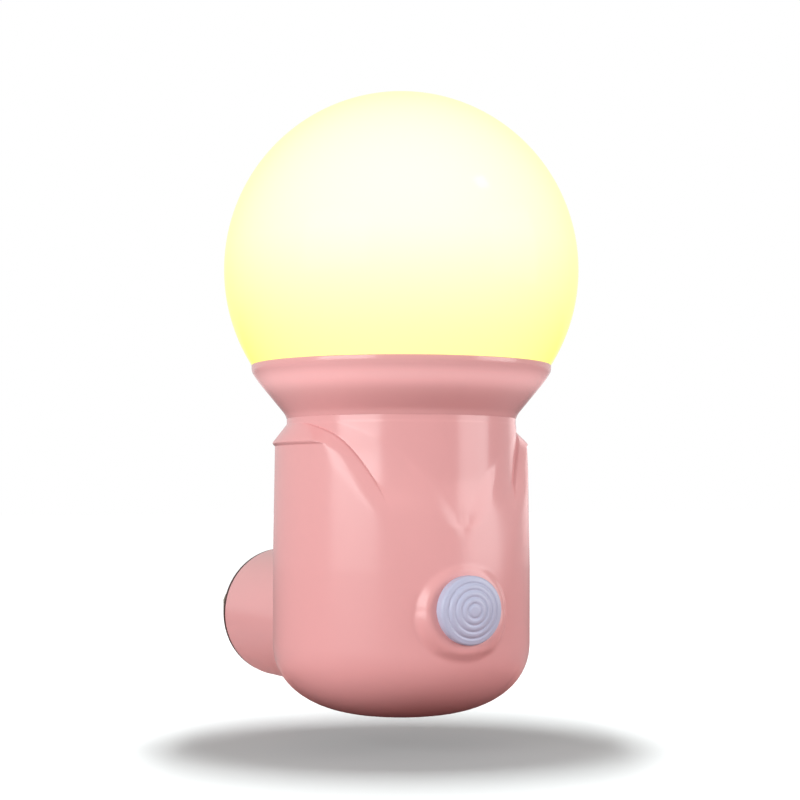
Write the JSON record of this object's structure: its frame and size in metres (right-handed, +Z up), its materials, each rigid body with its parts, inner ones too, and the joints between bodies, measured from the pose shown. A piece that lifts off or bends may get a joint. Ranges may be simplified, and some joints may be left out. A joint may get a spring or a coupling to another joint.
{
  "type": "plug in night light",
  "caption": "Plug-in night light: frosted globe in a flared pink collar on a lapelled cup body with a ringed push button and a round turning plug boss",
  "frame": {"origin": "centre of the plug's wall face, where it lies against the socket", "axes": "+Y points into the wall, +Z up along the lamp, +X to the right of someone who faces the light"},
  "size_m": [0.067, 0.1046, 0.1172],
  "materials": {
    "pink_plastic": "glossy moulded pink plastic",
    "dark_plastic": "dark moulded plastic",
    "frosted_globe": "frosted pale warm white, lit from inside",
    "pale_plastic": "satin pale lilac grey plastic",
    "blade_metal": "plated brass",
    "contact_brass": "sprung brass",
    "white_nylon": "natural nylon",
    "black_package": "black moulding compound",
    "spring_steel": "drawn spring wire",
    "circuit_board": "green solder mask on glass board",
    "white_board": "white solder mask on board",
    "lit_chip": "phosphor window",
    "screw_steel": "zinc-plated steel",
    "capacitor_shell": "dipped film capacitor",
    "resistor_coat": "painted resistor body",
    "wire_cover": "soft wire insulation"
  },
  "bodies": {
    "plug": {"plug_disc": "dark_plastic", "live_blade": "blade_metal", "neutral_blade": "blade_metal", "live_track": "contact_brass", "neutral_track": "contact_brass"},
    "lamp": {"body_shell": "pink_plastic", "collar_ring": "pink_plastic", "plug_boss": "pink_plastic", "globe_diffuser": "frosted_globe", "live_finger": "contact_brass", "neutral_finger": "contact_brass", "brush_plate": "white_nylon", "push_switch": "black_package", "button_spring": "spring_steel", "driver_board": "circuit_board", "led_board": "white_board", "led_chips": "lit_chip", "led_board_screws": "screw_steel", "collar_screws": "screw_steel", "boss_screws": "screw_steel", "plate_screws": "screw_steel", "film_capacitor": "capacitor_shell", "electrolytic_capacitor": "black_package", "bridge_rectifier": "black_package", "controller_chip": "black_package", "fuse_resistor": "resistor_coat", "bleed_resistors": "resistor_coat", "mains_leads": "wire_cover", "led_leads": "wire_cover"},
    "button": {"button_cap": "pale_plastic", "switch_plunger": "white_nylon"}
  },
  "joints": [
    {"name": "plug_swivel", "type": "hinge", "parent": "plug", "child": "lamp", "pos_m": [0, 0, 0], "axis": [0, 1, 0], "range_deg": [-90, 90]},
    {"name": "button_press", "type": "slide", "parent": "lamp", "child": "button", "axis": [0, 1, 0], "range_m": [0, 0.0015], "stiffness_N_per_m": 900, "springref_m": -0.001, "deforming": ["button_spring"]}
  ]
}
